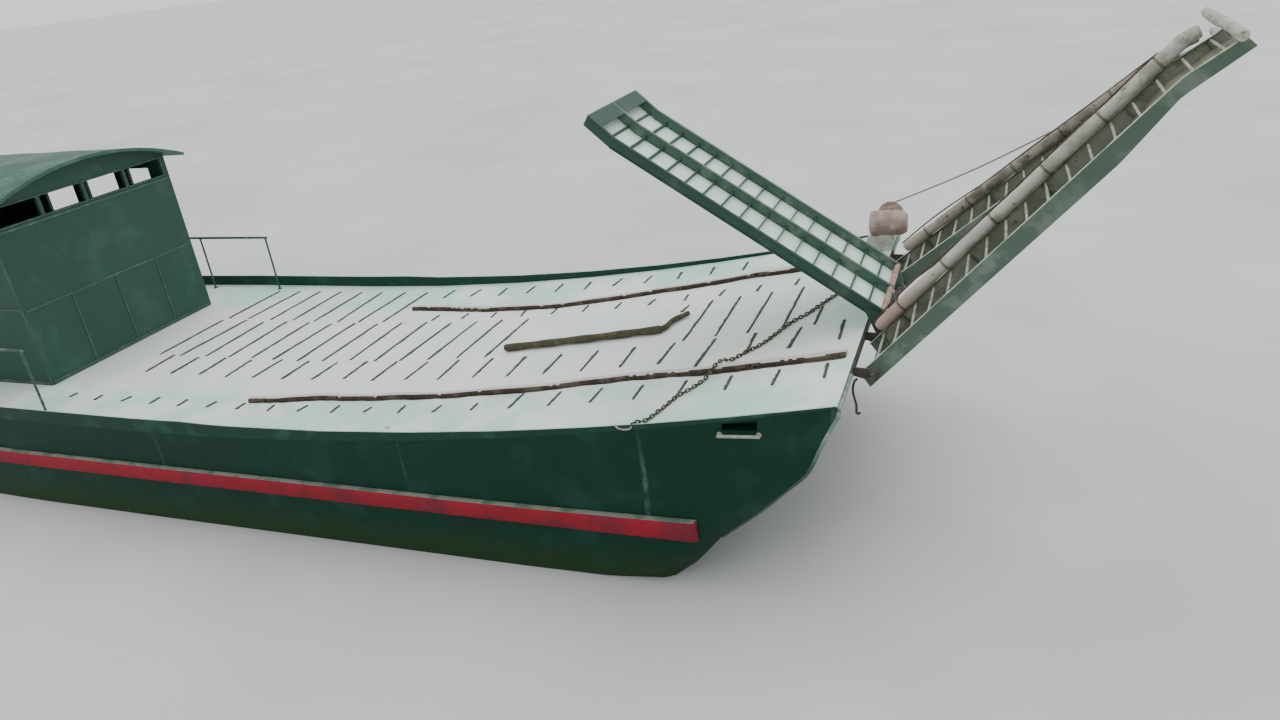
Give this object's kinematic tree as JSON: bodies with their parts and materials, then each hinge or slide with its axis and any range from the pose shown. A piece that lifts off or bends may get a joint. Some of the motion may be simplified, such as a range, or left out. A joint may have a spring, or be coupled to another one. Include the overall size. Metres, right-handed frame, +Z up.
{
  "type": "steel river cargo boat with bow loading ramps",
  "caption": "Flat-decked steel river cargo boat with raked square bow, two raised track ramps and a folded centre ramp on one hinge shaft, a winch and a stern cabin",
  "frame": {"origin": "Centre of the bounding box seen from above, on the flat bottom of the hull", "axes": "+X forward to the bow, +Y to port, +Z up"},
  "size_m": [19.6206, 5.0306, 5.1039],
  "materials": {
    "hull": "weathered gloss paint",
    "deck_plate": "weathered gloss paint",
    "port_coaming": "weathered gloss paint",
    "starboard_coaming": "weathered gloss paint",
    "port_rub_rail": "weathered gloss paint",
    "starboard_rub_rail": "weathered gloss paint",
    "starboard_guide_strip": "weathered gloss paint",
    "port_guide_strip": "weathered gloss paint",
    "bow_hinge_shaft": "dull",
    "starboard_ramp": "weathered gloss paint",
    "starboard_ramp_side_pipe": "weathered gloss paint",
    "starboard_ramp_tip_bar": "weathered gloss paint",
    "port_ramp": "weathered gloss paint",
    "port_ramp_side_pipe": "weathered gloss paint",
    "port_ramp_tip_bar": "weathered gloss paint",
    "centre_ramp": "weathered gloss paint",
    "winch_frame": "weathered gloss paint",
    "winch_drum": "weathered gloss paint",
    "hoist_rope": "rough",
    "starboard_mooring_bar": "dull",
    "port_mooring_bar": "dull",
    "cabin_front_wall": "weathered gloss paint",
    "cabin_port_wall": "weathered gloss paint",
    "cabin_starboard_wall": "weathered gloss paint",
    "cabin_aft_wall": "weathered gloss paint",
    "cabin_door": "weathered gloss paint",
    "cabin_roof": "weathered gloss paint",
    "helm_stand": "weathered gloss paint",
    "engine_block": "weathered gloss paint",
    "exhaust_stack": "weathered gloss paint",
    "port_handrail": "weathered gloss paint",
    "starboard_handrail": "weathered gloss paint",
    "aft_hatch_coaming": "weathered gloss paint",
    "aft_hatch_lid": "weathered gloss paint",
    "stern_tube": "dull",
    "shaft_strut": "dull",
    "propeller": "dull",
    "rudder": "weathered gloss paint",
    "tiller": "dull",
    "deck_chain": "rusty",
    "boat_pole": "raw weathered"
  },
  "bodies": {
    "boat": {"hull": "hull", "deck_plate": "deck_plate", "port_coaming": "port_coaming", "starboard_coaming": "starboard_coaming", "port_rub_rail": "port_rub_rail", "starboard_rub_rail": "starboard_rub_rail", "starboard_guide_strip": "starboard_guide_strip", "port_guide_strip": "port_guide_strip", "bow_hinge_shaft": "bow_hinge_shaft", "winch_frame": "winch_frame", "hoist_rope": "hoist_rope", "starboard_mooring_bar": "starboard_mooring_bar", "port_mooring_bar": "port_mooring_bar", "cabin_front_wall": "cabin_front_wall", "cabin_port_wall": "cabin_port_wall", "cabin_starboard_wall": "cabin_starboard_wall", "cabin_aft_wall": "cabin_aft_wall", "cabin_roof": "cabin_roof", "helm_stand": "helm_stand", "engine_block": "engine_block", "exhaust_stack": "exhaust_stack", "port_handrail": "port_handrail", "starboard_handrail": "starboard_handrail", "aft_hatch_coaming": "aft_hatch_coaming", "stern_tube": "stern_tube", "shaft_strut": "shaft_strut", "deck_chain": "deck_chain", "boat_pole": "boat_pole"},
    "starboard_track_ramp": {"starboard_ramp": "starboard_ramp", "starboard_ramp_side_pipe": "starboard_ramp_side_pipe", "starboard_ramp_tip_bar": "starboard_ramp_tip_bar"},
    "port_track_ramp": {"port_ramp": "port_ramp", "port_ramp_side_pipe": "port_ramp_side_pipe", "port_ramp_tip_bar": "port_ramp_tip_bar"},
    "centre_ramp_body": {"centre_ramp": "centre_ramp"},
    "winch_drum_body": {"winch_drum": "winch_drum"},
    "door": {"cabin_door": "cabin_door"},
    "hatch_lid": {"aft_hatch_lid": "aft_hatch_lid"},
    "propeller_body": {"propeller": "propeller"},
    "rudder_body": {"rudder": "rudder", "tiller": "tiller"}
  },
  "joints": [
    {"name": "starboard_ramp_hinge", "type": "hinge", "parent": "boat", "child": "starboard_track_ramp", "pos_m": [6.77971, 0, 2.275], "axis": [0, -1, 0], "range_deg": [-72, 30]},
    {"name": "port_ramp_hinge", "type": "hinge", "parent": "boat", "child": "port_track_ramp", "pos_m": [6.77971, 0, 2.275], "axis": [0, -1, 0], "range_deg": [-64, 38]},
    {"name": "centre_ramp_hinge", "type": "hinge", "parent": "boat", "child": "centre_ramp_body", "pos_m": [6.77971, 0, 2.275], "axis": [0, -1, 0], "range_deg": [-171, 0]},
    {"name": "winch_drum_spin", "type": "hinge", "parent": "boat", "child": "winch_drum_body", "pos_m": [6.51971, 2.14, 2.65], "axis": [0, 1, 0], "continuous": true},
    {"name": "cabin_door_hinge", "type": "hinge", "parent": "boat", "child": "door", "pos_m": [-8.34029, -1.12, 2.5], "axis": [0, 0, 1], "range_deg": [0, 110]},
    {"name": "aft_hatch_hinge", "type": "hinge", "parent": "boat", "child": "hatch_lid", "pos_m": [-9.56029, 1.1, 1.631], "axis": [0, -1, 0], "range_deg": [0, 100]},
    {"name": "propeller_spin", "type": "hinge", "parent": "boat", "child": "propeller_body", "pos_m": [-8.51029, 0, 0.4], "axis": [1, 0, 0], "continuous": true},
    {"name": "rudder_stock", "type": "hinge", "parent": "boat", "child": "rudder_body", "pos_m": [-9.16029, 0, 1.5], "axis": [0, 0, 1], "range_deg": [-35, 35]}
  ]
}
